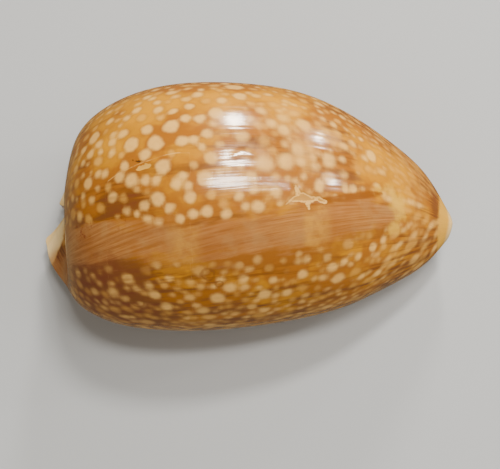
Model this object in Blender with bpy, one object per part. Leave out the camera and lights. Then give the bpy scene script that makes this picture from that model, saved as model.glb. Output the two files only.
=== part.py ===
"""Cowrie shell lying on its base: hollow, with a toothed slit underneath.

X runs along the shell, the narrow front end at +X. The outer lip is on the -Y
side and the inner lip on the +Y side. Z is up, and the base rests on z = 0.
"""
import bmesh
import bpy
import numpy as np

MM = 0.001

# Every station along the shell, from the blunt rear end to the narrow front end, in millimetres:
# crest x, y, z | near margin x, y, z | far margin x, y, z | slit x, y, half width | base z | wall
STATIONS = np.array([
    [-44.8, 3.4,  9.8, -51.4,  -4.8,  5.4, -48.5,  6.9,  6.0, -46.6,  3.5, 1.3, 3.2, 1.2],
    [-44.2, 2.8, 11.4, -49.7, -10.3,  6.4, -46.6, 11.6,  7.4, -42.5,  2.7, 1.7, 1.8, 2.0],
    [-43.4, 2.0, 14.0, -45.5, -16.2,  8.8, -45.2, 16.0,  9.6, -37.0,  1.6, 2.0, 0.7, 3.0],
    [-44.2, 1.4, 21.5, -43.0, -20.0, 11.6, -43.4, 19.2, 12.6, -31.0,  0.7, 2.3, 0.0, 3.2],
    [-42.4, 0.8, 30.5, -39.2, -24.3, 14.8, -39.8, 22.9, 15.2, -24.5,  0.1, 2.5, 0.0, 2.6],
    [-36.6, 0.4, 38.8, -32.0, -27.9, 17.2, -32.8, 26.6, 17.4, -17.5, -0.4, 2.6, 0.0, 2.4],
    [-26.0, 0.2, 45.4, -22.5, -29.5, 18.6, -23.0, 29.5, 18.6, -10.0, -0.8, 2.7, 0.0, 2.2],
    [-13.5, 0.0, 48.6, -11.5, -29.7, 19.0, -11.5, 30.5, 19.0,  -2.0, -1.1, 2.9, 0.0, 2.2],
    [ -0.5, 0.0, 48.0,   0.5, -28.6, 18.6,   0.5, 30.3, 18.6,   6.5, -1.3, 3.1, 0.0, 2.2],
    [ 12.5, 0.0, 44.2,  12.5, -26.4, 17.4,  12.5, 29.0, 17.4,  15.0, -1.2, 3.3, 0.0, 2.2],
    [ 25.0, 0.0, 37.4,  24.0, -22.9, 15.6,  24.2, 24.9, 15.6,  24.0, -1.0, 3.6, 0.4, 2.2],
    [ 36.4, 0.0, 28.0,  33.6, -17.8, 13.2,  35.0, 19.0, 13.2,  33.0, -0.6, 3.8, 1.4, 2.3],
    [ 45.2, 0.0, 18.0,  42.8, -11.9, 10.4,  44.2, 12.4, 10.4,  41.5, -0.2, 3.4, 3.0, 2.2],
    [ 50.8, 0.0, 11.6,  48.9,  -4.8,  8.2,  49.6,  4.4,  8.2,  48.6,  0.0, 1.9, 5.0, 1.1],
])

COLUMNS = 66
HALF_STEPS = 16
LIP_END, FOOT_END, MARGIN_AT = 3 / 16, 4 / 16, 8 / 16
LIP_HEIGHT = 3.4
FLOOR_BASE, FLOOR_SHARE = 0.9, 0.12
FOOT_IN, FOOT_OUT = 0.27, 0.56
# The last fifth of each end closes in on the slit, and its shoulders turn hollow.
END_REACH, END_SOLID, END_HOLLOW = 0.2, 0.45, 0.8
GROOVE_DEPTH = 0.6
RIM_BULGE = 0.3
# Cuts the cubic's small wave off the sole, so that the shell stands on a level strip.
SOLE_TRIM = 0.06


def smooth_stations(along):
    """Read the station table at shares 0 to 1 of the length, through a smooth cubic."""
    last = len(STATIONS) - 1
    system = 4 * np.eye(last + 1) + np.eye(last + 1, k=1) + np.eye(last + 1, k=-1)
    system[0, :2] = 1, 0
    system[-1, -2:] = 0, 1
    bend = np.zeros_like(STATIONS)
    bend[1:-1] = 6 * (STATIONS[2:] - 2 * STATIONS[1:-1] + STATIONS[:-2])
    bend = np.linalg.solve(system, bend)
    place = along * last
    low = np.minimum(place.astype(int), last - 1)
    up = (place - low)[..., None]
    down = 1 - up
    straight = down * STATIONS[low] + up * STATIONS[low + 1]
    return straight + ((down**3 - down) * bend[low] + (up**3 - up) * bend[low + 1]) / 6


def point(x, y, z):
    return np.stack(np.broadcast_arrays(x, y, z), -1)


def share(value, low, high):
    return np.clip((value - low) / (high - low), 0, 1)


def quarter_turn(corner, start, end, turn):
    """A quarter of an ellipse from start to end around its corner."""
    angle = turn[..., None] * np.pi / 2
    return corner + (start - corner) * np.cos(angle) + (end - corner) * np.sin(angle)


def half_wall(along, around, side, inside):
    """One side of the shell from the slit (around 0) over the margin to the crest (around 1)."""
    row = np.moveaxis(smooth_stations(along), -1, 0)
    crest, slit, half_gap, wall = row[0:3], row[9:11], row[11], row[13]
    base = np.maximum(row[12] - SOLE_TRIM, 0)
    margin = row[3:6] if side < 0 else row[6:9]
    floor = base + FLOOR_BASE + FLOOR_SHARE * (crest[2] - base)
    reach = np.abs(margin[1] - slit[1]) - half_gap
    edge_z = base + np.minimum(LIP_HEIGHT, 0.62 * (floor - base))
    edge = point(slit[0], slit[1] + side * half_gap, edge_z)
    crest = point(*crest)
    margin = point(*margin)
    spread = margin[..., 0] - slit[0]
    foot_in = point(slit[0] + 0.3 * spread, edge[..., 1] + side * FOOT_IN * reach, base)
    foot_out = point(slit[0] + 0.58 * spread, edge[..., 1] + side * FOOT_OUT * reach, base)
    near_end = 1 - share(np.minimum(along, 1 - along), 0, END_REACH)
    if inside:
        heart = point(slit[0], slit[1], floor)
        edge = point(slit[0], slit[1] + side * (half_gap + 0.4), floor)
        solid = END_SOLID * near_end**1.5
        crest, margin = (toward(end, heart, wall, solid) for end in (crest, margin))
        inner = margin - edge
        foot_in = edge + 0.15 * inner * (1, 1, 0)
        foot_out = edge + 0.5 * inner * (1, 1, 0)
    lip_corner = point(foot_in[..., 0], foot_in[..., 1], edge[..., 2])
    low_corner = (margin + foot_out) / 2
    low_corner[..., 1], low_corner[..., 2] = foot_out[..., 1], margin[..., 2]
    high_corner = (margin + crest) / 2
    high_corner[..., 1], high_corner[..., 2] = crest[..., 1], margin[..., 2]
    if not inside:
        hollow = END_HOLLOW * near_end[..., None] ** 3
        high_corner += hollow * (margin + crest - 2 * high_corner)
    path = quarter_turn(lip_corner, edge, foot_in, share(around, 0, LIP_END))
    flat = foot_in + (foot_out - foot_in) * share(around, LIP_END, FOOT_END)[..., None]
    path = np.where((around > LIP_END)[..., None], flat, path)
    low = quarter_turn(low_corner, foot_out, margin, share(around, FOOT_END, MARGIN_AT))
    path = np.where((around > FOOT_END)[..., None], low, path)
    high = quarter_turn(high_corner, margin, crest, share(around, MARGIN_AT, 1))
    return np.where((around > MARGIN_AT)[..., None], high, path)


def toward(end, heart, distance, least_share):
    """Move a point of the outer wall toward the heart of its section by the wall thickness."""
    away = heart - end
    part = np.maximum(distance / np.linalg.norm(away, axis=-1), least_share)
    return end + away * part[..., None]


def groove_lips(wall, around, side):
    """Sink every second column of the lip, which leaves a tooth between two grooves."""
    turn = share(around, 0, LIP_END)
    depth = GROOVE_DEPTH * (1 - turn**2) * (around < LIP_END)
    depth[0::2] = 0
    depth[-2:] = 0
    wall[..., 1] += side * depth * np.cos(turn * np.pi / 2)
    wall[..., 2] += depth * np.sin(turn * np.pi / 2)


def shell_rings():
    """Outer and inner wall as rows of points, each from the near slit edge over to the far one."""
    along, around = np.meshgrid(
        np.linspace(0, 1, COLUMNS), np.linspace(0, 1, HALF_STEPS + 1), indexing="ij"
    )
    walls = []
    for inside in (False, True):
        near = half_wall(along, around, -1, inside)
        far = half_wall(along, around, 1, inside)
        if not inside:
            groove_lips(near, around, -1)
            groove_lips(far, around, 1)
        walls.append(np.concatenate([near, far[:, -2::-1]], 1))
    return walls


def with_rims(outer, inner):
    """Both walls with one more row at each end, which together round off the open ends."""
    walls = [[], []]
    for end, direction in ((0, -1), (-1, 1)):
        apart = inner[end] - outer[end]
        bulge = direction * RIM_BULGE * np.linalg.norm(apart, axis=1)
        for wall, part in zip(walls, (1 / 3, 2 / 3)):
            row = outer[end] + part * apart
            row[:, 0] += bulge
            wall.append(row)
    return [np.stack([rims[0], *wall, rims[1]]) for rims, wall in zip(walls, (outer, inner))]


def add_sheet(shell, rows):
    """A grid of faces with its points moved to the rows of one wall."""
    columns, steps = rows.shape[:2]
    grid = bmesh.ops.create_grid(shell, x_segments=columns - 1, y_segments=steps - 1, size=0.5)
    for corner in grid["verts"]:
        i = round((corner.co.x + 0.5) * (columns - 1))
        k = round((corner.co.y + 0.5) * (steps - 1))
        corner.co = rows[i, k] * MM


def shell_mesh():
    outer, inner = with_rims(*shell_rings())
    corners = np.concatenate([outer.reshape(-1, 3), inner.reshape(-1, 3)])
    low, high = corners.min(0), corners.max(0)
    rest_point = ((low[0] + high[0]) / 2, (low[1] + high[1]) / 2, low[2])
    shell = bmesh.new()
    add_sheet(shell, outer - rest_point)
    add_sheet(shell, inner - rest_point)
    open_edges = [edge for edge in shell.edges if edge.is_boundary]
    bmesh.ops.bridge_loops(shell, edges=open_edges)
    bmesh.ops.recalc_face_normals(shell, faces=shell.faces)
    mesh = bpy.data.meshes.new("cowrie_shell")
    shell.to_mesh(mesh)
    shell.free()
    return mesh


def shell_material():
    material = bpy.data.materials.new("glossy_shell")
    material.use_nodes = True
    surface = material.node_tree.nodes["Principled BSDF"]
    surface.inputs["Base Color"].default_value = (0.52, 0.25, 0.07, 1)
    surface.inputs["Roughness"].default_value = 0.18
    return material


def build():
    for old in list(bpy.data.objects):
        bpy.data.objects.remove(old, do_unlink=True)
    mesh = shell_mesh()
    mesh.materials.append(shell_material())
    mesh.shade_smooth()
    shell = bpy.data.objects.new("cowrie_shell", mesh)
    bpy.context.scene.collection.objects.link(shell)


build()
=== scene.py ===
"""Looks of a large spotted cowrie shell that lies on its toothed base.

X runs along the shell to its narrow front end, -Y is the outer lip's side and Z is up.
"""
import math

import bpy
import numpy as np
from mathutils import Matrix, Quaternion, Vector


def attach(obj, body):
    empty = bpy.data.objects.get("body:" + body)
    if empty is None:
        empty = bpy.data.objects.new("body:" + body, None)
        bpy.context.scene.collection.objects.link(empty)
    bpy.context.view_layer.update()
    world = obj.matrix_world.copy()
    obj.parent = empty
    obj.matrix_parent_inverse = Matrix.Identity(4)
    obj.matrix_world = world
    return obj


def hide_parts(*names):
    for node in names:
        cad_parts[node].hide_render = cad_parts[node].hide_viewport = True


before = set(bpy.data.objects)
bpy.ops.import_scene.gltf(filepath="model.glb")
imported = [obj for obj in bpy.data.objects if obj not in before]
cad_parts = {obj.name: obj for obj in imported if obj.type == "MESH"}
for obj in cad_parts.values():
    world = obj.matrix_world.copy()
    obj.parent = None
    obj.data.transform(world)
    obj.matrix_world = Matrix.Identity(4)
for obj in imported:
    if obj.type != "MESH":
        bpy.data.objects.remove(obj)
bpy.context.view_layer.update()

MM = 0.001

# Every station along the shell, from the blunt rear end to the narrow front end, in millimetres:
# crest x, y, z | near margin x, y, z | far margin x, y, z | slit x, y, half width | base z | wall
STATIONS = np.array([
    [-44.8, 3.4,  9.8, -51.4,  -4.8,  5.4, -48.5,  6.9,  6.0, -46.6,  3.5, 1.3, 3.2, 1.2],
    [-44.2, 2.8, 11.4, -49.7, -10.3,  6.4, -46.6, 11.6,  7.4, -42.5,  2.7, 1.7, 1.8, 2.0],
    [-43.4, 2.0, 14.0, -45.5, -16.2,  8.8, -45.2, 16.0,  9.6, -37.0,  1.6, 2.0, 0.7, 3.0],
    [-44.2, 1.4, 21.5, -43.0, -20.0, 11.6, -43.4, 19.2, 12.6, -31.0,  0.7, 2.3, 0.0, 3.2],
    [-42.4, 0.8, 30.5, -39.2, -24.3, 14.8, -39.8, 22.9, 15.2, -24.5,  0.1, 2.5, 0.0, 2.6],
    [-36.6, 0.4, 38.8, -32.0, -27.9, 17.2, -32.8, 26.6, 17.4, -17.5, -0.4, 2.6, 0.0, 2.4],
    [-26.0, 0.2, 45.4, -22.5, -29.5, 18.6, -23.0, 29.5, 18.6, -10.0, -0.8, 2.7, 0.0, 2.2],
    [-13.5, 0.0, 48.6, -11.5, -29.7, 19.0, -11.5, 30.5, 19.0,  -2.0, -1.1, 2.9, 0.0, 2.2],
    [ -0.5, 0.0, 48.0,   0.5, -28.6, 18.6,   0.5, 30.3, 18.6,   6.5, -1.3, 3.1, 0.0, 2.2],
    [ 12.5, 0.0, 44.2,  12.5, -26.4, 17.4,  12.5, 29.0, 17.4,  15.0, -1.2, 3.3, 0.0, 2.2],
    [ 25.0, 0.0, 37.4,  24.0, -22.9, 15.6,  24.2, 24.9, 15.6,  24.0, -1.0, 3.6, 0.4, 2.2],
    [ 36.4, -0.1, 28.0,  33.8, -17.9, 13.2,  34.9, 19.0, 13.2,  33.0, -0.6, 3.8, 1.4, 2.3],
    [ 45.1, -0.5, 18.6,  43.0, -12.2, 10.6,  43.9, 12.4, 10.6,  41.5, -0.5, 3.3, 3.0, 2.2],
    [ 50.5, -1.5, 12.6,  49.0,  -5.8,  8.8,  49.3,  3.2,  9.0,  48.4, -1.5, 1.9, 5.0, 1.1],
])
SHIFT = np.array([0.477, -0.376, 0.0])

COLUMNS = 72
LIP_END, FOOT_END, MARGIN_AT = 3 / 16, 4 / 16, 8 / 16
LIP_STEPS, FOOT_STEPS, SIDE_STEPS, BACK_STEPS = 3, 1, 7, 19
LINING_KEPT = 0.12
LIP_HEIGHT, LIP_SHARE = 3.4, 0.62
FLOOR_BASE, FLOOR_SHARE = 0.9, 0.12
FOOT_IN, FOOT_OUT = 0.27, 0.56
FOOT_IN_ALONG, FOOT_OUT_ALONG = 0.3, 0.58
# The lining starts this much wider than the slit, and turns up at these shares of its width.
LINING_GAP, LINING_FOOT_IN, LINING_FOOT_OUT = 0.4, 0.15, 0.5
# The wall grows thick in the last fifth of each end, and the rear shoulders turn hollow.
END_REACH, END_SOLID, REAR_HOLLOW = 0.2, 0.45, 0.8
RIM_BULGE = 0.3
SOLE_TRIM = 0.06
TOOTH_TURNS = 65
GROOVE_DEPTH = {-1: 1.1, 1: 0.8}
GROOVE_REACH = {-1: 0.25, 1: 0.17}
# How narrow the grooves are, and where along the shell the teeth begin and end.
GROOVE_SHARPNESS, TEETH_BEGIN, TEETH_END = 1.3, (0.01, 0.06), (0.93, 0.99)

# The band without spots along the back, where the two flaps of the mantle met:
# x, middle y, half width.
MANTLE_LINE = np.array([
    [-42, -12.8, 3.7], [-33, -15.1, 3.9], [-23, -16.7, 3.7], [-14, -17.2, 3.7], [-6, -16.8, 3.7],
    [1, -15.4, 4.1], [7, -14.1, 4.6], [14, -12.7, 4.3], [21, -10.5, 3.9], [28, -7.8, 3.5],
    [34, -5.8, 1.8], [36.5, -5.2, 0.3], [38, -5.0, 0.02],
])

# The largest pale spots, listed one by one: x, y, z, radius.
LARGE_SPOTS = [
    (-16.5, 8.5, 46.5, 2), (-20, 4.5, 47, 2), (-25.5, 5, 45, 1.8), (-22, 2, 46.5, 1.5),
    (-18, -1.5, 47.5, 1.7), (-25, -3.5, 45, 1.6), (-22, 8.5, 45, 1.4), (-14, 4.5, 48, 1.4),
    (-11.5, 4.5, 48, 1), (-27, 0, 45, 1.2), (-30, 4, 42.5, 1.1), (-33.5, 7.5, 39.5, 1.1),
    (-27.5, 8.5, 43, 1.2), (-30, 9, 41, 1), (-19.5, 14, 43.5, 1.2), (-16.5, 13, 45, 1),
    (-13.5, 10.5, 46.5, 1.3), (-10.5, 10.5, 47, 1.3), (-12.5, 14.5, 45, 1.1), (-25, 15, 41, 1.1),
    (-27, 13, 41, 1.1), (-31.5, 14, 38.5, 1.1), (-6.5, 12, 46, 1.8), (-5.5, 16.5, 44, 1.5),
    (-11, 18.5, 42, 1.4), (-1.5, 18, 42, 1.5), (-8.5, 6, 48, 1.2), (-22, -4, 46.5, 1.1),
    (-19.5, -4.5, 47, 1), (-15, -5.5, 48, 1.4), (-13.5, -4, 48, 1.1), (-12.5, -6, 48, 1),
    (-12, -8.5, 47.5, 1.2), (-19, -8.5, 46, 1.5), (-16.5, -10.5, 46, 1.2), (-22, -9.5, 45, 1.2),
    (-26, -10, 43, 1), (-19, -13, 44.5, 1), (-11.5, -12, 46, 1.1), (-8.5, -11.5, 46.5, 1.2),
    (-4.5, -12, 46, 1.2), (-1.5, -8, 47, 1.2), (-33, -0.5, 41, 1.1), (-31.5, -1, 42.5, 1.1),
    (-35.5, -2, 39, 1.3), (-34.5, -6, 39, 1), (-29.5, -6.5, 42.5, 1.1), (13.5, -19, 36, 1),
    (18, -18, 34.5, 1.1), (22, -18, 31.5, 1.1), (29, -14, 29.5, 1.1), (25.5, -16.5, 30.5, 1),
    (12.5, -21.5, 33.5, 1.3), (31.5, -12, 29, 1), (-30, -25, 30, 1.5), (-26.5, -23, 34.5, 1.4),
    (-21.5, -24.5, 34.5, 1.1), (-20.5, -26, 32.5, 1.2), (-18, -28, 29.5, 1.3),
    (-6.5, -26.5, 32, 1.7), (-0.5, -23.5, 36, 1.2), (6, -23.5, 34.5, 1.1), (9, -25, 30, 1.1),
    (4, -25.5, 31, 1.5), (3.5, 13.5, 44, 1.2), (5.5, 10, 45, 1.2), (8.5, 8.5, 44.5, 1.5),
    (13, 11, 42, 1.9), (11.5, 4, 44.5, 1.6), (8.5, 0.5, 45.5, 1.9), (4, -0.5, 47, 1.9),
    (18.5, 2.5, 41.5, 1.7), (6.5, -6.5, 45.5, 1.4), (2.5, -10, 45.5, 1.4), (29, 7, 33.5, 1.5),
    (22, -3.5, 39, 1.1), (24, -3, 38, 1.1), (16, -4, 42.5, 1.4),
]

# Places where the ground colour changes, some dark ones being painted shade: x, y, z, radius,
# change. Above 0 is golden, below 0 dark.
GROUND_AND_SHADE_PATCHES = [
    (-20, 14, 43, 11, 1.0), (-4, 20, 41, 12, 0.55), (-30, 6, 42, 7, 0.5), (-14, -8, 47, 5, 0.6),
    (34, 3, 29.5, 5, 1.4), (37, -2, 27, 3.5, 1.0), (29, 2, 34, 4, 0.9), (10, 16, 41, 7, 0.8),
    (30, 9, 31, 5, 1.0), (8, -9, 45, 6, 0.35), (22, -18, 30, 9, 0.2), (-4, -23, 37, 10, -0.1),
    (38, 5, 24, 6, 0.4), (-36, -21, 25, 10, -1.3), (-38, -15, 28, 5, -0.7),
    (-30, -7, 42, 4.5, -0.7), (-25, -6.5, 45, 3.5, -0.7), (-24, -26, 28, 10, -0.8),
    # The dark patches low on the near side, below z 20, are partly painted shade of the lower
    # margins; (-46.5, -12, 8) is painted shadow under the rear tab and (43.5, 6, 20) painted shade
    # near the front end.
    (-33, -19, 33, 4.5, -0.7), (-25, -21, 37, 5, -0.4), (-8, -29, 18, 12, -0.5),
    (12, -26, 15, 13, -0.4), (-46.5, -12, 8, 6, -1.4), (-50.8, -3, 6, 1.6, -0.7),
    (24, 2, 38, 4.5, -0.1), (28, 4, 35, 4, 0.5), (43.5, 6, 20, 4, -0.45), (18, 14, 38, 3.5, -0.3),
    (32, 14, 26, 6, -0.35), (2, 4, 48, 7, -0.35), (42, -8, 15, 6, -0.5), (35, -14, 18, 7, -0.4),
    (-30, -24, 16, 9, -0.8), (30, -19, 9, 9, -0.6), (-31, -19, 36, 4, -0.9), (-41, -7, 33, 4, -0.7),
]
# Where the enamel is milky and the spots blur into each other, with a painted sheen beside the
# highlights: x, y, z, radius, amount.
CLOUDS_AND_SHEEN = [
    (4, 10, 46, 11, 1.0), (14, 6, 43, 11, 1.0), (21, 5, 39, 8, 0.75), (4, -3, 47, 8, 0.7),
    (-5, 8, 48, 5, 0.5),
]
# Where the spots are only blurred.
BLURRED = [
    (-30, -24, 28, 13, 0.7), (-5, -26, 28, 14, 0.65), (18, -21, 28, 11, 0.4), (38, -8, 20, 9, 0.7),
    (40, 6, 22, 7, 0.5),
]
# Where no spots grew: x, y, z, radius.
BARE_PATCHES = [
    (24, 3, 38, 3.2), (27, 0, 36, 2.6), (44, 0, 19, 3.5), (33, 1.5, 31, 2.4), (-30, -9, 41, 2.5),
]

# Chains of round patches: x, y, z, radius.
PALE_CRESCENT = [
    (30.6, -0.9, 33.5, 0.8), (32.6, -1.0, 31.8, 1.2), (34.2, -2.1, 30.2, 1.5),
    (35.5, -3.6, 28.7, 1.7), (35.7, -5.3, 27.9, 1.7), (34.9, -7.7, 27.8, 1.5),
    (32.6, -10.5, 28.6, 0.8),
]
# Along the upper edge of the rear tab, where a painted highlight lies on its pale rim.
TAB_RIM_HIGHLIGHT = [
    (-46.8, 4.2, 8.5, 0.9), (-48.8, 2.6, 7.5, 0.9), (-50.6, 0.8, 6.5, 0.8), (-51.6, -3.5, 5.5, 0.3),
]
ORANGE_LINE = [
    (13.8, -8.3, 42.4, 0.5), (17.2, -7.2, 41.1, 0.8), (20.7, -5.9, 39.6, 0.9),
    (24.3, -4.7, 37.6, 0.9), (28.0, -3.2, 35.2, 0.8), (31.0, -2.2, 33.0, 0.5),
]
# Old damage of the enamel as such chains: a branched pale scar, a yellow chip and its crack.
PALE_SCAR = [
    (8.3, -9.2, 44.3, 0.2), (9.4, -8.3, 44.2, 0.3), (10.7, -7.7, 43.9, 0.45),
    (11.8, -7.2, 43.6, 0.8), (12.9, -7.2, 43.2, 1.0), (14.1, -7.2, 42.6, 0.75),
    (15.2, -7.0, 42.2, 0.55), (16.3, -7.1, 41.6, 0.45), (17.5, -7.3, 41.0, 0.25),
    (11.4, -6.3, 44.0, 0.4), (10.9, -5.5, 44.4, 0.35), (10.5, -4.6, 44.7, 0.25),
    (13.4, -8.4, 42.6, 0.4), (13.8, -9.2, 42.2, 0.25),
]
YELLOW_CHIP = [
    (-23.9, -1.4, 46, 0.35), (-22.9, -1.1, 46.3, 0.6), (-22.0, -1.0, 46.6, 0.65),
    (-21.0, -0.8, 46.9, 0.4),
]
DARK_CRACK = [
    (-24.8, 0.9, 45.6, 0.1), (-24.0, 0.5, 45.9, 0.15), (-23.1, 0.2, 46.3, 0.2),
    (-22.4, -0.1, 46.6, 0.1),
]
SPECKLES = [(-39.2, -10.5, 33, 1.5), (-37.5, -12.1, 34, 2.0), (-35.5, -11.9, 36, 1.8)]
ORANGE_SPECKS = (-28.1, -11.3, 42, 2.6)
# Ring-shaped marks and small pits: x, y, z, radius.
RINGS = [(-8.5, -23.0, 38.0, 1.5), (-6.0, -24.6, 35.7, 0.8), (-24.6, -26.9, 29.4, 1.5)]
PITS = [
    (-27.4, -6.0, 43.9, 0.5), (-31.6, -9.0, 40.5, 0.5), (-38.5, -10.7, 33.5, 0.5),
    (15.0, -1.5, 43, 0.6),
]
# A raised growth wrinkle, and a hair-fine scratch as the line of its x, y points.
WRINKLE = [
    (-2.6, 0.7, 48.3, 0.3), (-1.5, 1.5, 48.2, 0.4), (-0.4, 1.8, 47.9, 0.4), (1.7, 1.2, 47.6, 0.3),
]
SCRATCH = np.array([
    [-31, -3], [-28.4, -1.7], [-26.6, -1.2], [-23.4, -0.2], [-20.7, 0.4], [-18, 1.1], [-15, 1.5],
    [-12, 1.3],
])
# Paler bars across the mantle line: first and last x, edge softness, strength.
LINE_BARS = [(-16.5, -10.5, 2.2, 0.55), (12.8, 18.0, 0.7, 0.7)]

# Depth of the old damage and height of the wrinkle, in millimetres.
PIT_DEPTH, SCAR_DEPTH, CHIP_DEPTH, WRINKLE_HEIGHT = 0.1, 0.2, 0.25, 0.12
# A distance that is nowhere near, and the largest ones kept for lines and for spots, in mm.
FAR_OFF, LINE_LIMIT, SPOT_LIMIT = 9.0, 3, 4
# How fast a soft round patch fades, and the limits of the change of the ground colour.
PATCH_FALLOFF, CHANGE_LIMITS = 1.4, (-1.2, 1.4)

SPOT_TRIES = 12000
SPOT_SEED = 11
# How tightly neighbouring spots melt together.
SPOTS_JOIN = 6.0
# The scattered spots: mean radius on the flanks, its spread and its limits, in millimetres.
SPOT_RADIUS, SPOT_SPREAD, SPOT_LIMITS = 0.92, 0.3, (0.4, 2.0)
# How far they stray from their point, how milky they are, and how far each is felt around it.
SPOT_STRAY, SPOT_STRENGTH, SPOT_REACH = 0.15, (0.55, 1.0), 3.5
# How much they stretch near the front end, near the base and anywhere.
FRONT_STRETCH, LOW_STRETCH, ANY_STRETCH = (0.6, 2.0), (0.2, 1.0), 0.3
# Stretch and strength of the large spots.
LARGE_SPOT_LOOK = 1.0, 0.95
# The middle of the part of the back where the spots are largest: x, y.
LARGE_SPOTS_AT = np.array([-18.0, 5.0])
# The spots near the front end stretch toward the first point, those on the near side to the second.
SPOT_TARGET, NEAR_SPOT_TARGET = np.array([53.0, 0, 11]), np.array([49.0, 6, 14])

# The middle of the cream front end, and where its cream and its brown ring lie around it.
FRONT_END = (51.2, -0.4, 10)
FRONT_CREAM, RING_RADIUS, RING_WIDTH, RING_CHANGE = (6.2, 9.2), 9.4, 2.0, 0.6
# The flow of the grain: its length along, around and through the shell, in millimetres.
FLOW_SIZE = 105, 75, 20

# How each grain is stretched along, around and through the shell, and how far it is turned.
STREAK_GRAIN, STREAK_TURN = (0.07, 0.5, 0.3), -6
HAIR_GRAIN, HAIR_TURN = (0.08, 2.0, 0.3), -16
RIDGE_GRAIN, RIDGE_TURN = (0.05, 1.1, 0.3), -6
TINT_GRAIN, RIPPLE_GRAIN = (0.11, 0.05, 0.3), (0.05, 0.32, 0.3)
# Scales of the noise, from the broadest blotches to the finest specks.
BASE_SCALE, BLOTCH_SCALE, MOTTLE_SCALE, VEIL_SCALE = 70, 95, 170, 190
RAGGED_SCALE, CRESCENT_SCALE, SPOT_EDGE_SCALE = 260, 300, 330
FINE_SCALE, SPECK_SCALE = 460, 900

# The polish, the roughness of bare places, and the clear coat over the enamel.
POLISH, BARE_ROUGHNESS, ENAMEL_SPECULAR = (0.2, 0.27), 0.6, 0.25
COAT_SHARE, COAT_WORN, COAT_ROUGHNESS, COAT_IOR = 0.26, 0.2, 0.12, 2.5
GLOW_SHARE, GLOW_REACH, GLOW_SCALE = 0.1, (1.0, 0.6, 0.35), 0.0012
# Strength and distance of each bump.
RIPPLE_BUMP, RIDGE_BUMP, HAIR_BUMP = (0.1, 0.001), (0.2, 0.0003), (0.06, 0.0003)

# Lamps: name, direction from the shell, size, brightness, roll, shape, whether the gloss shows it.
LAMPS = [
    ("upper_lamp", (0.215, 0.45, 0.866), (0.15, 0.075), 115, 44, "ELLIPSE", True),
    ("long_lamp", (0.16, 0.045, 0.987), (0.24, 0.09), 46, 74, "ELLIPSE", True),
    ("thin_lamp", (0.514, 0.07, 0.855), (0.2, 0.005), 90, 88, "RECTANGLE", True),
    ("far_lamp", (0.139, 0.896, 0.421), (0.07, 0.15), 90, 11, "ELLIPSE", True),
    ("right_lamp", (0.849, 0.245, 0.468), (0.034, 0.03), 160, 0, "ELLIPSE", True),
    ("low_far_lamp", (0.648, 0.721, 0.245), (0.032, 0.042), 160, 24, "ELLIPSE", True),
    ("near_fill", (-0.1, -0.75, 0.66), (0.8, 0.8), 0.98, 0, "ELLIPSE", False),
    ("right_fill", (0.8, 0.1, 0.6), (0.5, 0.5), 2.0, 0, "ELLIPSE", False),
]
LAMP_DISTANCE, LAMP_CENTRE, LAMP_COLOUR = 0.6, (0, 0, 0.04), (1, 0.93, 0.82)
ROOM_COLOUR, ROOM_STRENGTH = (1, 0.82, 0.56, 1), 0.21
FLOOR_SIZE, FLOOR_ROUGHNESS, FLOOR_SPECULAR = 3, 0.9, 0.2

CAMERA_PLACE, CAMERA_AIM = (0.0005, -0.0893, 0.2563), (0.0008, -0.0043, 0.0105)
CAMERA_LENS, CAMERA_SENSOR, CAMERA_NEAREST = 75, 36, 0.01


def smooth_stations(along):
    """Read the station table at shares 0 to 1 of the length, through a smooth cubic."""
    last = len(STATIONS) - 1
    system = 4 * np.eye(last + 1) + np.eye(last + 1, k=1) + np.eye(last + 1, k=-1)
    system[0, :2] = 1, 0
    system[-1, -2:] = 0, 1
    bend = np.zeros_like(STATIONS)
    bend[1:-1] = 6 * (STATIONS[2:] - 2 * STATIONS[1:-1] + STATIONS[:-2])
    bend = np.linalg.solve(system, bend)
    place = along * last
    low = np.minimum(place.astype(int), last - 1)
    up = (place - low)[..., None]
    down = 1 - up
    straight = down * STATIONS[low] + up * STATIONS[low + 1]
    return straight + ((down**3 - down) * bend[low] + (up**3 - up) * bend[low + 1]) / 6


def point(x, y, z):
    return np.stack(np.broadcast_arrays(x, y, z), -1)


def share(value, low, high):
    return np.clip((value - low) / (high - low), 0, 1)


def ease(value, low, high):
    part = share(value, low, high)
    return part * part * (3 - 2 * part)


def quarter_turn(corner, start, end, turn):
    """A quarter of an ellipse from start to end around its corner."""
    angle = turn[..., None] * np.pi / 2
    return corner + (start - corner) * np.cos(angle) + (end - corner) * np.sin(angle)


def toward(end, heart, distance, least_share):
    """Move a point of the outer wall toward the heart of its section by the wall thickness."""
    away = heart - end
    part = np.maximum(distance / np.linalg.norm(away, axis=-1), least_share)
    return end + away * part[..., None]


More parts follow.
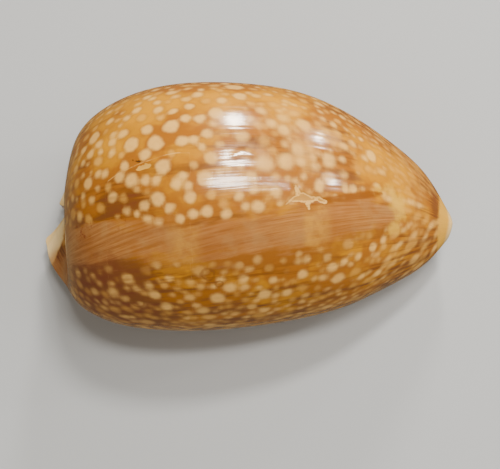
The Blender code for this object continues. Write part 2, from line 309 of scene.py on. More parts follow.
def half_wall(along, around, side, inside):
    """One side of the shell from the slit (around 0) over the margin to the crest (around 1)."""
    row = np.moveaxis(smooth_stations(along), -1, 0)
    crest, slit, half_gap, wall = row[0:3], row[9:11], row[11], row[13]
    base = np.maximum(row[12] - SOLE_TRIM, 0)
    margin = row[3:6] if side < 0 else row[6:9]
    floor = base + FLOOR_BASE + FLOOR_SHARE * (crest[2] - base)
    reach = np.abs(margin[1] - slit[1]) - half_gap
    edge_z = base + np.minimum(LIP_HEIGHT, LIP_SHARE * (floor - base))
    edge = point(slit[0], slit[1] + side * half_gap, edge_z)
    crest = point(*crest)
    margin = point(*margin)
    spread = margin[..., 0] - slit[0]
    foot_x = slit[0] + FOOT_IN_ALONG * spread, slit[0] + FOOT_OUT_ALONG * spread
    foot_in = point(foot_x[0], edge[..., 1] + side * FOOT_IN * reach, base)
    foot_out = point(foot_x[1], edge[..., 1] + side * FOOT_OUT * reach, base)
    near_end = 1 - share(np.minimum(along, 1 - along), 0, END_REACH)
    if inside:
        heart = point(slit[0], slit[1], floor)
        edge = point(slit[0], slit[1] + side * (half_gap + LINING_GAP), floor)
        solid = END_SOLID * near_end**1.5
        crest, margin = (toward(end, heart, wall, solid) for end in (crest, margin))
        inner = margin - edge
        foot_in = edge + LINING_FOOT_IN * inner * (1, 1, 0)
        foot_out = edge + LINING_FOOT_OUT * inner * (1, 1, 0)
    lip_corner = point(foot_in[..., 0], foot_in[..., 1], edge[..., 2])
    low_corner = (margin + foot_out) / 2
    low_corner[..., 1], low_corner[..., 2] = foot_out[..., 1], margin[..., 2]
    high_corner = (margin + crest) / 2
    high_corner[..., 1], high_corner[..., 2] = crest[..., 1], margin[..., 2]
    if not inside:
        hollow = REAR_HOLLOW * (1 - share(along, 0, END_REACH))[..., None] ** 3
        high_corner += hollow * (margin + crest - 2 * high_corner)
    path = quarter_turn(lip_corner, edge, foot_in, share(around, 0, LIP_END))
    flat = foot_in + (foot_out - foot_in) * share(around, LIP_END, FOOT_END)[..., None]
    path = np.where((around > LIP_END)[..., None], flat, path)
    low = quarter_turn(low_corner, foot_out, margin, share(around, FOOT_END, MARGIN_AT))
    path = np.where((around > FOOT_END)[..., None], low, path)
    high = quarter_turn(high_corner, margin, crest, share(around, MARGIN_AT, 1))
    return np.where((around > MARGIN_AT)[..., None], high, path)


def half_steps():
    """Shares from the slit to the crest, closer together on the lip and the sole."""
    parts = [
        np.linspace(0, LIP_END, LIP_STEPS + 1),
        np.linspace(LIP_END, FOOT_END, FOOT_STEPS + 1)[1:],
        np.linspace(FOOT_END, MARGIN_AT, SIDE_STEPS + 1)[1:],
        np.linspace(MARGIN_AT, 1, BACK_STEPS + 1)[1:],
    ]
    return np.concatenate(parts)


def wall_rows(inside):
    """One wall as rows of points, with how far along and around each of them is."""
    along, around = np.meshgrid(np.linspace(0, 1, COLUMNS), half_steps(), indexing="ij")
    near = half_wall(along, around, -1, inside)
    far = half_wall(along, around, 1, inside)
    rows = np.concatenate([near, far[:, -2::-1]], 1)
    turn = np.concatenate([around - 1, (1 - around)[:, -2::-1]], 1)
    length = np.repeat(along[:, :1], rows.shape[1], 1)
    return rows, length, turn


def with_rim(rows, other, part):
    """The rows with one more at each end, part of the way to the other wall."""
    ends = []
    for end, direction in ((0, -1), (-1, 1)):
        apart = other[end] - rows[end]
        rim = rows[end] + part * apart
        rim[:, 0] += direction * RIM_BULGE * np.linalg.norm(apart, axis=1)
        ends.append(rim)
    return np.stack([ends[0], *rows, ends[1]])


def clear_selection():
    bpy.ops.object.select_all(action="DESELECT")


def choose(piece):
    clear_selection()
    piece.select_set(True)
    bpy.context.view_layer.objects.active = piece


def keep(mesh, name, values, kind="FLOAT"):
    """Store one value for each point of a mesh, which the material reads by name."""
    if name in mesh.attributes:
        mesh.attributes.remove(mesh.attributes[name])
    layer = mesh.attributes.new(name, kind, "POINT")
    key = "value" if kind == "FLOAT" else "vector"
    layer.data.foreach_set(key, np.asarray(values, np.float32).ravel())


def read(mesh, name):
    values = np.zeros(len(mesh.vertices), np.float32)
    mesh.attributes[name].data.foreach_get("value", values)
    return values


def places(mesh):
    flat = np.zeros(3 * len(mesh.vertices), np.float32)
    mesh.vertices.foreach_get("co", flat)
    return flat.reshape(-1, 3) / MM


def directions(mesh):
    flat = np.zeros(3 * len(mesh.vertices), np.float32)
    mesh.vertices.foreach_get("normal", flat)
    return flat.reshape(-1, 3)


def move_points(mesh, corners):
    mesh.vertices.foreach_set("co", (corners * MM).astype(np.float32).ravel())
    mesh.update()


def wall_sheet(name, rows, length, turn, inside):
    """A flat grid rolled into one wall of the shell."""
    columns, steps = rows.shape[:2]
    clear_selection()
    bpy.ops.mesh.primitive_grid_add(x_subdivisions=columns - 1, y_subdivisions=steps - 1, size=1)
    sheet = bpy.context.object
    sheet.name = name
    flat = places(sheet.data) * MM
    i = np.rint((flat[:, 0] + 0.5) * (columns - 1)).astype(int)
    k = np.rint((flat[:, 1] + 0.5) * (steps - 1)).astype(int)
    move_points(sheet.data, rows[i, k] + SHIFT)
    keep(sheet.data, "along", length[i, k])
    keep(sheet.data, "around", turn[i, k])
    keep(sheet.data, "inside", np.full(len(i), float(inside)))
    return sheet


def make_shell():
    """Roll both walls, join them along the slit and the two ends, and round everything off."""
    outer, length, turn = wall_rows(False)
    inner, _, _ = wall_rows(True)
    length = length[[0, *range(COLUMNS), -1]]
    turn = turn[[0, *range(COLUMNS), -1]]
    outside = wall_sheet("shell", with_rim(outer, inner, 1 / 3), length, turn, False)
    lining = wall_sheet("lining", with_rim(inner, outer, 1 / 3), length, turn, True)
    choose(outside)
    lining.select_set(True)
    bpy.ops.object.join()
    bpy.ops.object.mode_set(mode="EDIT")
    bpy.ops.mesh.select_mode(type="EDGE")
    bpy.ops.mesh.select_all(action="DESELECT")
    bpy.ops.mesh.select_non_manifold()
    bpy.ops.mesh.bridge_edge_loops()
    bpy.ops.mesh.select_all(action="SELECT")
    bpy.ops.mesh.normals_make_consistent(inside=False)
    bpy.ops.object.mode_set(mode="OBJECT")
    rounding = outside.modifiers.new("rounding", "SUBSURF")
    rounding.levels = rounding.render_levels = 2
    bpy.ops.object.modifier_apply(modifier=rounding.name)
    thin_lining(outside)
    bpy.ops.object.shade_smooth()
    return outside


def thin_lining(shell):
    """Fewer faces for the inner wall, which hardly shows through the slit."""
    mesh = shell.data
    deep = read(mesh, "inside") > 0.999
    inner = [all(deep[k] for k in face.vertices) for face in mesh.polygons]
    mesh.vertices.foreach_set("select", np.zeros(len(mesh.vertices), bool))
    mesh.edges.foreach_set("select", np.zeros(len(mesh.edges), bool))
    mesh.polygons.foreach_set("select", inner)
    bpy.ops.object.mode_set(mode="EDIT")
    bpy.ops.mesh.select_mode(type="FACE")
    bpy.ops.mesh.decimate(ratio=LINING_KEPT)
    bpy.ops.object.mode_set(mode="OBJECT")


def distances(corners, middle):
    return np.linalg.norm(corners - middle, axis=1)


def chain_edge(corners, chain):
    """How far outside a chain of round patches each point lies, in millimetres."""
    chain = np.array(chain)
    nearest = np.full(len(corners), FAR_OFF)
    for first, last in zip(chain[:-1], chain[1:]):
        run = last - first
        part = np.clip((corners - first[:3]) @ run[:3] / (run[:3] @ run[:3]), 0, 1)
        apart = distances(corners, first[:3] + part[:, None] * run[:3])
        nearest = np.minimum(nearest, apart - first[3] - part * run[3])
    return nearest


def patch_sum(corners, patches):
    """Soft round patches added up: x, y, z, radius, amount."""
    total = np.zeros(len(corners))
    for x, y, z, radius, amount in patches:
        apart = distances(corners, (x, y, z)) / radius
        total += amount * np.exp(-(apart**2) * PATCH_FALLOFF)
    return total


def cut_teeth(shell):
    """Sink the grooves between the teeth of both lips."""
    mesh = shell.data
    corners, normals = places(mesh), directions(mesh)
    along, around, inside = read(mesh, "along"), read(mesh, "around"), read(mesh, "inside")
    wave = (0.5 - 0.5 * np.cos(np.pi * TOOTH_TURNS * along)) ** GROOVE_SHARPNESS
    groove = np.zeros(len(corners))
    for side in (-1, 1):
        from_slit = 1 - np.abs(around)
        fade = (1 - ease(from_slit, 0.02, GROOVE_REACH[side])) * (np.sign(around) == side)
        groove += GROOVE_DEPTH[side] * fade
    ends = ease(along, *TEETH_BEGIN) * (1 - ease(along, *TEETH_END))
    groove *= wave * ends * (1 - ease(inside, 0.3, 1.0))
    keep(mesh, "groove", groove)
    move_points(mesh, corners - normals * groove[:, None])


def wear_enamel(shell):
    """The pits, the rings, the wrinkle and the damage of the back, raised or sunk a little."""
    mesh = shell.data
    corners, normals = places(mesh), directions(mesh)
    outside = 1 - read(mesh, "inside")
    sink = np.zeros(len(corners))
    for x, y, z, radius in PITS:
        apart = distances(corners, (x, y, z))
        sink += PIT_DEPTH * (1 - ease(apart, 0.3 * radius, 1.3 * radius))
    ring = np.full(len(corners), FAR_OFF)
    for x, y, z, radius in RINGS:
        apart = distances(corners, (x, y, z))
        ring = np.where(np.abs(apart - radius) < np.abs(ring), apart - radius, ring)
    scar, chip = chain_edge(corners, PALE_SCAR), chain_edge(corners, YELLOW_CHIP)
    worn_scar, worn_chip = (1 - ease(edge, -0.4, 0.25) for edge in (scar, chip))
    sink += SCAR_DEPTH * worn_scar + CHIP_DEPTH * worn_chip
    sink -= WRINKLE_HEIGHT * (1 - ease(chain_edge(corners, WRINKLE), -0.3, 0.5))
    keep(mesh, "ring", np.clip(ring, -LINE_LIMIT, LINE_LIMIT))
    keep(mesh, "pale_scar", scar)
    keep(mesh, "yellow_chip", chip)
    keep(mesh, "dark_crack", chain_edge(corners, DARK_CRACK))
    keep(mesh, "speckles", chain_edge(corners, SPECKLES))
    *middle, reach = ORANGE_SPECKS
    keep(mesh, "orange_specks", distances(corners, middle) - reach)
    across = corners[:, 1] - np.interp(corners[:, 0], SCRATCH[:, 0], SCRATCH[:, 1])
    beyond = np.maximum(SCRATCH[0, 0] - corners[:, 0], corners[:, 0] - SCRATCH[-1, 0])
    on_top = (normals[:, 2] > 0.3) & (beyond < 0)
    across = np.clip(across, -LINE_LIMIT, LINE_LIMIT)
    keep(mesh, "scratch", np.where(on_top, across, LINE_LIMIT))
    move_points(mesh, corners - normals * (sink * outside)[:, None])


def spot_radius(rng, centre):
    """Spots are large over the rear of the back and small and crowded toward the margins."""
    rear = 1 - ease(np.hypot(*(centre[:2] - LARGE_SPOTS_AT)), 6, 26)
    low = 1 - ease(centre[2], 10, 34)
    front = ease(centre[0], 26, 40)
    near = ease(centre[1], 2, -4)
    middle = SPOT_RADIUS + 0.35 * rear + 0.08 * low + front * (0.1 * near - 0.3 * (1 - near))
    return float(np.clip(middle * np.exp(SPOT_SPREAD * rng.standard_normal()), *SPOT_LIMITS))


def scatter_spots(corners, allowed):
    """Centre, radius, stretch and strength of every pale spot."""
    rng = np.random.default_rng(SPOT_SEED)
    spots = np.zeros((len(LARGE_SPOTS) + SPOT_TRIES, 6))
    count = len(LARGE_SPOTS)
    spots[:count, :4] = LARGE_SPOTS
    spots[:count, 4:] = LARGE_SPOT_LOOK
    chances = allowed / allowed.sum()
    for pick in rng.choice(len(corners), SPOT_TRIES, p=chances):
        centre = corners[pick] + rng.normal(0, SPOT_STRAY, 3)
        radius = spot_radius(rng, centre)
        front, low = ease(centre[0], 24, 40), 1 - ease(centre[2], 14, 32)
        stretch = 1 + front * rng.uniform(*FRONT_STRETCH) + low * rng.uniform(*LOW_STRETCH)
        stretch += ANY_STRETCH * rng.random()
        apart = distances(spots[:count, :3], centre)
        rear = 1 - ease(np.hypot(*(centre[:2] - LARGE_SPOTS_AT)), 7, 16)
        spacing = rng.uniform(0.94 - 0.1 * low, 1.3 - 0.32 * low)
        room = (spots[:count, 3] + radius) * (1 + 0.2 * rear) * spacing + 0.25 - 0.2 * low
        if np.all(apart > room):
            far_front = front * (centre[1] > 0)
            strength = rng.uniform(*SPOT_STRENGTH) * (1 - 0.12 * low) * (1 - 0.3 * far_front)
            spots[count] = (*centre, radius, stretch, strength)
            count += 1
    return spots[:count]


def mark_spots(shell):
    """How far each point lies outside its nearest spot, and how milky that spot is."""
    mesh = shell.data
    corners, normals = places(mesh), directions(mesh)
    around, inside = read(mesh, "around"), read(mesh, "inside")
    line_middle = np.interp(corners[:, 0], MANTLE_LINE[:, 0], MANTLE_LINE[:, 1])
    line_half = np.interp(corners[:, 0], MANTLE_LINE[:, 0], MANTLE_LINE[:, 2])
    from_line = (corners[:, 1] - line_middle) / line_half
    on_back = (normals[:, 2] > 0.1) & (inside < 0.01)
    keep(mesh, "from_line", np.where(on_back, from_line, FAR_OFF))
    allowed = ease(1 - np.abs(around), 0.36, 0.46) * (inside < 0.01)
    near_line = on_back & (from_line < 1.1) & (from_line > -1.15)
    below_line = on_back & (np.abs(from_line + 1.5) < 0.3)
    allowed = allowed * np.where(near_line, 0, 1) * np.where(below_line, 0.3, 1)
    allowed = allowed * (1 - ease(corners[:, 0], 44, 47)) * ease(corners[:, 2], 8, 14)
    allowed = allowed * np.where((corners[:, 0] < -42) & (corners[:, 2] < 20), 0.4, 1)
    for x, y, z, radius in BARE_PATCHES:
        allowed = allowed * ease(distances(corners, (x, y, z)), 0.7 * radius, 1.2 * radius)
    spots = scatter_spots(corners, allowed * point_areas(mesh))
    closeness = np.full(len(corners), 1e-9)
    milk = np.zeros(len(corners))
    for x, y, z, radius, stretch, strength in spots:
        away = corners - (x, y, z)
        near = np.nonzero(np.abs(away).max(1) < radius * stretch + SPOT_REACH)[0]
        away = away[near]
        near_front = ease(-y, 2, 6) * ease(x, 20, 34)
        target = SPOT_TARGET + near_front * (NEAR_SPOT_TARGET - SPOT_TARGET)
        lengthwise = target - (x, y, z)
        lengthwise = lengthwise / np.linalg.norm(lengthwise)
        run = away @ lengthwise
        apart = np.sqrt(np.maximum((away**2).sum(1) - (1 - 1 / stretch**2) * run**2, 0))
        weight = np.exp(-SPOTS_JOIN * (apart - radius / stretch**0.35))
        closeness[near] += weight
        milk[near] += weight * strength
    keep(mesh, "spot_edge", np.minimum(-np.log(closeness) / SPOTS_JOIN, SPOT_LIMIT))
    keep(mesh, "spot_milk", milk / closeness)


def point_areas(mesh):
    """Roughly how much surface each point stands for."""
    areas = np.zeros(len(mesh.polygons), np.float32)
    mesh.polygons.foreach_get("area", areas)
    loops = np.zeros(len(mesh.loops), np.int32)
    mesh.loops.foreach_get("vertex_index", loops)
    sizes = np.zeros(len(mesh.polygons), np.int32)
    mesh.polygons.foreach_get("loop_total", sizes)
    total = np.zeros(len(mesh.vertices))
    np.add.at(total, loops, np.repeat(areas / sizes, sizes))
    return total


def mark_ground(shell):
    """Golden and dark places of the ground with their painted shade, the clouds with their painted
    sheen, the pale ends with a painted highlight on their rims, the base and the bars.
    """
    mesh = shell.data
    corners, normals = places(mesh), directions(mesh)
    along, around, inside = read(mesh, "along"), read(mesh, "around"), read(mesh, "inside")
    # The clouds: milky enamel and, beside the highlights, painted sheen.
    keep(mesh, "cloud_and_sheen", np.clip(patch_sum(corners, CLOUDS_AND_SHEEN), 0, 1))
    keep(mesh, "crescent", chain_edge(corners, PALE_CRESCENT))
    keep(mesh, "orange_line", chain_edge(corners, ORANGE_LINE))
    bars = np.zeros(len(corners))
    for first, last, soft, amount in LINE_BARS:
        begun = ease(corners[:, 0], first - soft, first + soft)
        ended = ease(corners[:, 0], last - 2, last + 2)
        bars += amount * begun * (1 - ended)
    keep(mesh, "line_bars", bars)
    slit_share = 1 - np.abs(around)
    from_tip = distances(corners, FRONT_END)
    tip_ring = np.exp(-((from_tip - RING_RADIUS) / RING_WIDTH) ** 2) * ease(corners[:, 1], -8, 0)
    # The dark patches bring their painted shade into the ground colour here.
    change = patch_sum(corners, GROUND_AND_SHADE_PATCHES) - RING_CHANGE * tip_ring
    keep(mesh, "ground_and_shade_change", np.clip(change, *CHANGE_LIMITS))
    front_end = 1 - ease(from_tip + 0.25 * corners[:, 1], *FRONT_CREAM)
    body_from = 45.5 + 0.55 * np.maximum(0, -5 - corners[:, 1])
    rear_tab = ease(-corners[:, 0] - body_from, -0.7, 0.7) * (1 - ease(corners[:, 2], 9.0, 12))
    rear_tab *= ease(corners[:, 1], -13.5, -10.5)
    keep(mesh, "pale_end", np.maximum(front_end, rear_tab))
    keep(mesh, "rear_tab", rear_tab)
    # A pale rim at both ends and along the top edge of the rear tab, partly a painted highlight.
    rim = 1 - ease(chain_edge(corners, TAB_RIM_HIGHLIGHT), -0.4, 0.7)
    keep(mesh, "end_rim_highlight", np.maximum(ease(np.abs(along - 0.5), 0.478, 0.497), rim))
    keep(mesh, "blur", np.clip(patch_sum(corners, CLOUDS_AND_SHEEN + BLURRED), 0, 1))
    keep(mesh, "rear_rim", ease(-normals[:, 0], 0.72, 0.95) * ease(corners[:, 2], 14, 20))
    keep(mesh, "base_share", 1 - ease(slit_share, 0.30, 0.45))
    keep(mesh, "lip_share", 1 - ease(slit_share, 0.02, 0.24))
    flow = np.stack([along, around, inside], 1) * FLOW_SIZE
    keep(mesh, "flow", flow, "FLOAT_VECTOR")


def colour(red, green, blue):
    """A screen colour, 0 to 255, as the shader's linear one."""
    shares = [value / 255 for value in (red, green, blue)]
    linear = [s / 12.92 if s <= 0.04045 else ((s + 0.055) / 1.055) ** 2.4 for s in shares]
    return (*linear, 1)


class Painter:
    """Adds and joins the nodes of one material."""

    def __init__(self, name):
        self.material = bpy.data.materials.new(name)
        self.material.use_nodes = True
        self.tree = self.material.node_tree
        self.surface = self.tree.nodes["Principled BSDF"]

    def feed(self, socket, value):
        if isinstance(value, bpy.types.NodeSocket):
            self.tree.links.new(value, socket)
        else:
            socket.default_value = value

    def value(self, name):
        node = self.tree.nodes.new("ShaderNodeAttribute")
        node.attribute_name = name
        return node.outputs["Fac"]

    def place(self, name):
        node = self.tree.nodes.new("ShaderNodeAttribute")
        node.attribute_name = name
        return node.outputs["Vector"]

    def object_place(self):
        return self.tree.nodes.new("ShaderNodeTexCoord").outputs["Object"]

    def stretched(self, place, scale, turn=0):
        """A place turned by some degrees, then stretched along each axis."""
        turned = self.tree.nodes.new("ShaderNodeMapping")
        self.feed(turned.inputs["Vector"], place)
        turned.inputs["Rotation"].default_value = 0, 0, math.radians(turn)
        node = self.tree.nodes.new("ShaderNodeMapping")
        self.feed(node.inputs["Vector"], turned.outputs["Vector"])
        node.inputs["Scale"].default_value = scale
        return node.outputs["Vector"]

    def noise(self, place, scale, detail=2.0, roughness=0.5, distortion=0.0):
        node = self.tree.nodes.new("ShaderNodeTexNoise")
        self.feed(node.inputs["Vector"], place)
        node.inputs["Scale"].default_value = scale
        node.inputs["Detail"].default_value = detail
        node.inputs["Roughness"].default_value = roughness
        node.inputs["Distortion"].default_value = distortion
        return node.outputs["Fac"]

    def math(self, kind, first, second=0.0, third=0.0):
        node = self.tree.nodes.new("ShaderNodeMath")
        node.operation = kind
        for socket, value in zip(node.inputs, (first, second, third)):
            self.feed(socket, value)
        return node.outputs[0]

    def step(self, value, low, high, start=0.0, end=1.0):
        """Ease from start to end while the value goes from low to high."""
        node = self.tree.nodes.new("ShaderNodeMapRange")
        node.interpolation_type = "SMOOTHSTEP"
        self.feed(node.inputs["Value"], value)
        limits = (low, high, start, end)
        for socket, limit in zip(("From Min", "From Max", "To Min", "To Max"), limits):
            node.inputs[socket].default_value = limit
        return node.outputs["Result"]

    def mix(self, share_, under, over, kind="MIX"):
        node = self.tree.nodes.new("ShaderNodeMix")
        node.data_type = "RGBA"
        node.blend_type = kind
        self.feed(node.inputs["Factor"], share_)
        self.feed(node.inputs[6], under)
        self.feed(node.inputs[7], over)
        return node.outputs[2]

    def bump(self, height, strength, distance, below=None):
        node = self.tree.nodes.new("ShaderNodeBump")
        self.feed(node.inputs["Height"], height)
        node.inputs["Strength"].default_value = strength
        node.inputs["Distance"].default_value = distance
        if below is not None:
            self.feed(node.inputs["Normal"], below)
        return node.outputs["Normal"]


AMBER = colour(161, 97, 15)
GOLD = colour(191, 128, 0)
BRIGHT_GOLD = colour(206, 141, 0)
DEEP = colour(118, 69, 26)
RED_BROWN = colour(113, 57, 30)
MILK = colour(240, 190, 104)
GOLD_MILK = colour(230, 172, 72)
LINE_TAN = colour(142, 88, 38)
LINE_PALE = colour(180, 124, 68)
LINE_RED = colour(150, 88, 28)
LINE_CREAM = colour(172, 128, 76)
RIM_TAN = colour(190, 142, 78)
LINE_BAR = colour(202, 148, 56)
CREAM = colour(212, 160, 52)
# Pale cream rim, partly a painted highlight.
CREAM_RIM_HIGHLIGHT = colour(230, 198, 136)
TAB_CREAM = colour(246, 218, 160)
# Brown of the pale ends where the dark patches fall, partly painted shade.
TAB_BROWN_AND_SHADE = colour(184, 122, 54)
# A milky veil, partly painted sheen beside the highlights.
VEIL_AND_SHEEN = colour(214, 160, 88)
CRESCENT = colour(224, 176, 56)
ORANGE = colour(132, 72, 2)
BASE_TAN = colour(196, 146, 92)
BASE_PALE = colour(216, 176, 128)
TOOTH_BROWN = colour(112, 58, 28)
LINING = colour(206, 180, 168)
SCAR_TAN = colour(184, 132, 54)
CHIP_YELLOW = colour(206, 156, 66)
CRACK = colour(60, 36, 18)
SPECK_RED = colour(128, 58, 20)
FLOOR_GREY = colour(170, 175, 182)


def ground_and_spots(p, obj, streak, fine):
    """The amber ground from gold to dark brown, partly painted shade, and the milky spots over it,
    under a milky veil that is partly painted sheen.
    """
    change = p.value("ground_and_shade_change")
    blotch = p.noise(obj, BLOTCH_SCALE, 3, 0.55)
    golden = p.math("ADD", change, p.step(blotch, 0.3, 0.7, -0.9, 1.1))
    ground = p.mix(p.step(golden, -0.1, 0.85), AMBER, GOLD)
    ground = p.mix(p.step(golden, 0.9, 1.7), ground, BRIGHT_GOLD)
    # The dark places carry the painted shade of the dark patches.
    dark = p.math("ADD", p.math("MULTIPLY", change, -1.0), p.step(streak, 0.34, 0.7, -0.3, 0.48))
    ground = p.mix(p.step(dark, 0.0, 0.6), ground, DEEP)
    ground = p.mix(p.step(dark, 0.55, 1.25), ground, RED_BROWN)

    cloud_and_sheen = p.value("cloud_and_sheen")
    warp = p.step(p.noise(obj, SPOT_EDGE_SCALE, 2), 0.25, 0.75, -0.3, 0.3)
    edge = p.math("ADD", p.value("spot_edge"), warp)
    blur = p.value("blur")
    crisp = p.step(edge, -0.65, 0.5, 1.0, 0.0)
    blurred = p.step(edge, -0.9, 0.8, 0.95, 0.0)
    crisp = p.math("MULTIPLY", crisp, p.math("SUBTRACT", 1.0, blur))
    spot = p.math("ADD", crisp, p.math("MULTIPLY", blurred, blur))
    spot = p.math("MULTIPLY", spot, p.value("spot_milk"))
    milky = p.mix(p.step(p.value("spot_milk"), 0.6, 0.9), GOLD_MILK, MILK)
    milky = p.mix(p.step(fine, 0.3, 0.7, 0.0, 0.16), milky, ground)
    ground = p.mix(p.step(edge, 0.15, 0.8, 0.22, 0.0), ground, DEEP)
    skin = p.mix(p.math("MULTIPLY", spot, p.step(dark, 0.2, 1.2, 0.92, 0.52)), ground, milky)
    # The veil over the clouds is partly milky enamel and partly painted sheen beside the
    # highlights.
    wisps = p.step(p.noise(obj, VEIL_SCALE, 3, 0.6), 0.42, 0.72, 0.0, 0.42)
    return p.mix(p.math("MULTIPLY", cloud_and_sheen, wisps), skin, VEIL_AND_SHEEN)


def mantle_line(p, skin, obj, flow, streak, hair, fine):
    """The tan line of fine hairs, its paler bars, and the orange border below and above it."""
    from_line = p.value("from_line")
    ragged = p.math("ADD", from_line, p.step(streak, 0.2, 0.8, -0.5, 0.5))
    bites = p.step(p.noise(obj, RAGGED_SCALE, 3, 0.6), 0.25, 0.75, -0.2, 0.2)
    ragged = p.math("ADD", ragged, bites)
    reach = p.math("ABSOLUTE", ragged)
    band = p.mix(p.step(hair, 0.36, 0.64), LINE_TAN, LINE_PALE)
    tint = p.noise(p.stretched(flow, TINT_GRAIN), 1.0, 3, 0.55)
    band = p.mix(p.step(tint, 0.4, 0.65, 0.0, 0.5), band, LINE_RED)
    mottle = p.step(p.noise(obj, MOTTLE_SCALE, 3, 0.6), 0.45, 0.7, 0.0, 0.5)
    band = p.mix(mottle, band, LINE_CREAM)
    bars = p.math("MULTIPLY", p.value("line_bars"), p.step(fine, 0.35, 0.65, 0.4, 1.0))
    band = p.mix(bars, band, LINE_BAR)
    below = p.math("MULTIPLY", p.step(ragged, -1.9, -1.5), p.step(ragged, -1.1, -0.8, 1.0, 0.0))
    skin = p.mix(p.math("MULTIPLY", below, 0.4), skin, DEEP)
    skin = p.mix(p.step(reach, 0.5, 1.35, 0.92, 0.0), skin, band)
    line = p.math("ADD", p.value("orange_line"), p.step(streak, 0.2, 0.8, -0.4, 0.4))
    return p.mix(p.step(line, -0.5, 0.3, 0.85, 0.0), skin, ORANGE)


def ends_and_base(p, skin, obj, streak, fine):
    """The cream tips, the paler base, the brown teeth and the lining."""
    soft = p.step(fine, 0.3, 0.7, -0.2, 0.2)
    bites = p.step(p.noise(obj, CRESCENT_SCALE, 3), 0.3, 0.7, -1.4, 1.4)
    crescent = p.math("ADD", p.value("crescent"), bites)
    skin = p.mix(p.step(crescent, -2.2, 1.4, 0.7, 0.0), skin, CRESCENT)
    rear_rim = p.math("MULTIPLY", p.value("rear_rim"), p.step(streak, 0.3, 0.6, 0.15, 0.5))
    skin = p.mix(rear_rim, skin, RIM_TAN)
    end = p.math("ADD", p.value("pale_end"), soft)
    tips = p.mix(p.value("rear_tab"), CREAM, TAB_CREAM)
    # Browner where the dark patches fall: the brown ring of the front end and painted shade under
    # the rear tab and near the front.
    tips = p.mix(p.step(p.value("ground_and_shade_change"), -0.9, -0.2, 0.7, 0.0), tips, TAB_BROWN_AND_SHADE)
    # The pale rims of the ends, partly a painted highlight.
    tips = p.mix(p.value("end_rim_highlight"), tips, CREAM_RIM_HIGHLIGHT)
    skin = p.mix(p.step(end, 0.15, 0.9, 0.0, 0.95), skin, tips)
    base = p.mix(p.step(p.noise(obj, BASE_SCALE, 3, 0.55), 0.35, 0.7), BASE_TAN, BASE_PALE)
    skin = p.mix(p.step(p.value("base_share"), 0.2, 0.9), skin, base)
    ridge = p.math("MULTIPLY", p.value("lip_share"), p.step(p.value("groove"), 0.0, 0.45, 1.0, 0.0))
    skin = p.mix(p.step(ridge, 0.3, 0.75, 0.0, 0.85), skin, TOOTH_BROWN)
    return p.mix(p.step(p.value("inside"), 0.55, 0.95), skin, LINING)


def old_damage(p, skin, obj, fine):
    """Scar, chip, crack, rings, speckles and scratch: the colour and how bare the place is."""
    rough_edge = p.step(fine, 0.2, 0.8, -0.3, 0.3)
    for name, reach, most in (("speckles", 1.2, 0.7), ("orange_specks", 1.5, 0.45)):
        dots = p.step(p.noise(obj, SPECK_SCALE, 2, 0.7), 0.56, 0.66, 0.0, most)
        dots = p.math("MULTIPLY", dots, p.step(p.value(name), -1.0, reach, 1.0, 0.0))
        skin = p.mix(dots, skin, SPECK_RED)
    ring = p.math("ABSOLUTE", p.math("ADD", p.value("ring"), rough_edge))
    skin = p.mix(p.step(ring, 0.05, 0.45, 0.55, 0.0), skin, DEEP)
    scratch = p.math("ABSOLUTE", p.value("scratch"))
    scratch = p.step(scratch, 0.03, 0.2, 1.0, 0.0)
    skin = p.mix(p.math("MULTIPLY", scratch, p.step(fine, 0.4, 0.6, 0.1, 0.5)), skin, MILK)
    scar_edge = p.math("ADD", p.value("pale_scar"), rough_edge)
    scar = p.step(scar_edge, -0.2, 0.1, 1.0, 0.0)
    chip = p.step(p.math("ADD", p.value("yellow_chip"), rough_edge), -0.1, 0.15, 1.0, 0.0)
    crack = p.step(p.math("ADD", p.value("dark_crack"), rough_edge), -0.05, 0.15, 0.9, 0.0)
    skin = p.mix(p.step(scar_edge, 0.1, 0.5, 0.35, 0.0), skin, DEEP)
    skin = p.mix(scar, skin, SCAR_TAN)
    # A pale outline round the scar, partly a painted highlight on its edge.
    scar_rim_and_highlight = p.math("ABSOLUTE", p.math("ADD", scar_edge, 0.1))
    skin = p.mix(p.step(scar_rim_and_highlight, 0.05, 0.25, 0.7, 0.0), skin, MILK)
    skin = p.mix(chip, skin, CHIP_YELLOW)
    skin = p.mix(crack, skin, CRACK)
    return skin, p.math("MAXIMUM", scar, chip)


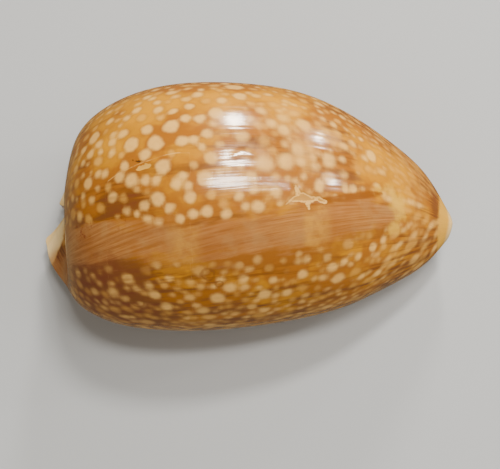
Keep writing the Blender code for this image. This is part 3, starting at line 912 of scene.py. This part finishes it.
def enamel():
    """The glossy shell: ground, spots, mantle line, ends, base and damage, from below up."""
    p = Painter("spotted_enamel")
    obj = p.object_place()
    flow = p.place("flow")
    streak = p.noise(p.stretched(flow, STREAK_GRAIN, STREAK_TURN), 1.0, 4, 0.6, 0.4)
    hair = p.noise(p.stretched(flow, HAIR_GRAIN, HAIR_TURN), 1.0, 5, 0.7)
    fine = p.noise(obj, FINE_SCALE, 3, 0.6)
    skin = ground_and_spots(p, obj, streak, fine)
    skin = mantle_line(p, skin, obj, flow, streak, hair, fine)
    skin = ends_and_base(p, skin, obj, streak, fine)
    skin, damage = old_damage(p, skin, obj, fine)
    surface = p.surface.inputs
    p.feed(surface["Base Color"], skin)

    polish = p.step(fine, 0.3, 0.7, *POLISH)
    bare = p.math("MULTIPLY", damage, BARE_ROUGHNESS)
    p.feed(surface["Roughness"], p.math("MAXIMUM", polish, bare))
    surface["Specular IOR Level"].default_value = ENAMEL_SPECULAR
    worn = p.math("MULTIPLY", damage, COAT_WORN)
    p.feed(surface["Coat Weight"], p.math("SUBTRACT", COAT_SHARE, worn))
    surface["Coat Roughness"].default_value = COAT_ROUGHNESS
    surface["Coat IOR"].default_value = COAT_IOR
    surface["Subsurface Weight"].default_value = GLOW_SHARE
    surface["Subsurface Radius"].default_value = GLOW_REACH
    surface["Subsurface Scale"].default_value = GLOW_SCALE

    ripple = p.noise(p.stretched(flow, RIPPLE_GRAIN), 1.0, 2, 0.5)
    ridges = p.noise(p.stretched(flow, RIDGE_GRAIN, RIDGE_TURN), 1.0, 2, 0.5)
    waves = p.bump(ridges, *RIDGE_BUMP, p.bump(ripple, *RIPPLE_BUMP))
    p.feed(surface["Normal"], p.bump(hair, *HAIR_BUMP, waves))
    p.feed(surface["Coat Normal"], waves)
    return p.material


def finish_shell():
    shell = make_shell()
    cut_teeth(shell)
    wear_enamel(shell)
    mark_spots(shell)
    mark_ground(shell)
    shell.name = "spotted_shell"
    shell.data.materials.clear()
    shell.data.materials.append(enamel())
    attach(shell, "root")
    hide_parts("cowrie_shell")


def soft_light(name, toward_light, size, brightness, roll, shape, in_gloss):
    """A flat lamp in one direction from the back of the shell, facing it and rolled in degrees."""
    lamp = bpy.data.lights.new(name, "AREA")
    lamp.shape = shape
    lamp.size, lamp.size_y = size
    round_share = math.pi / 4 if shape == "ELLIPSE" else 1
    lamp.energy = brightness * math.pi * size[0] * size[1] * round_share
    lamp.color = LAMP_COLOUR
    holder = bpy.data.objects.new(name, lamp)
    direction = Vector(toward_light).normalized()
    holder.location = Vector(LAMP_CENTRE) + LAMP_DISTANCE * direction
    facing = direction.to_track_quat("Z", "Y") @ Quaternion((0, 0, 1), math.radians(roll))
    holder.rotation_euler = facing.to_euler()
    holder.visible_glossy = in_gloss
    bpy.context.scene.collection.objects.link(holder)


def set_stage():
    clear_selection()
    bpy.ops.mesh.primitive_plane_add(size=FLOOR_SIZE, location=(0, 0, 0))
    floor = bpy.context.object
    floor.name = "floor"
    p = Painter("pale_floor")
    p.surface.inputs["Base Color"].default_value = FLOOR_GREY
    p.surface.inputs["Roughness"].default_value = FLOOR_ROUGHNESS
    p.surface.inputs["Specular IOR Level"].default_value = FLOOR_SPECULAR
    floor.data.materials.append(p.material)
    # The gloss shows the dim room instead of the pale floor, which would veil the colours.
    floor.visible_glossy = False

    world = bpy.data.worlds.new("soft_room")
    world.use_nodes = True
    room = world.node_tree.nodes["Background"]
    room.inputs["Color"].default_value = ROOM_COLOUR
    room.inputs["Strength"].default_value = ROOM_STRENGTH
    bpy.context.scene.world = world

    for lamp in LAMPS:
        soft_light(*lamp)


def set_camera():
    camera = bpy.data.objects.new("camera", bpy.data.cameras.new("camera"))
    camera.data.sensor_width = CAMERA_SENSOR
    camera.data.lens = CAMERA_LENS
    camera.location = CAMERA_PLACE
    aim = Vector(CAMERA_AIM) - camera.location
    camera.rotation_euler = aim.to_track_quat("-Z", "Y").to_euler()
    camera.data.clip_start = CAMERA_NEAREST
    bpy.context.scene.collection.objects.link(camera)
    bpy.context.scene.camera = camera


finish_shell()
set_stage()
set_camera()
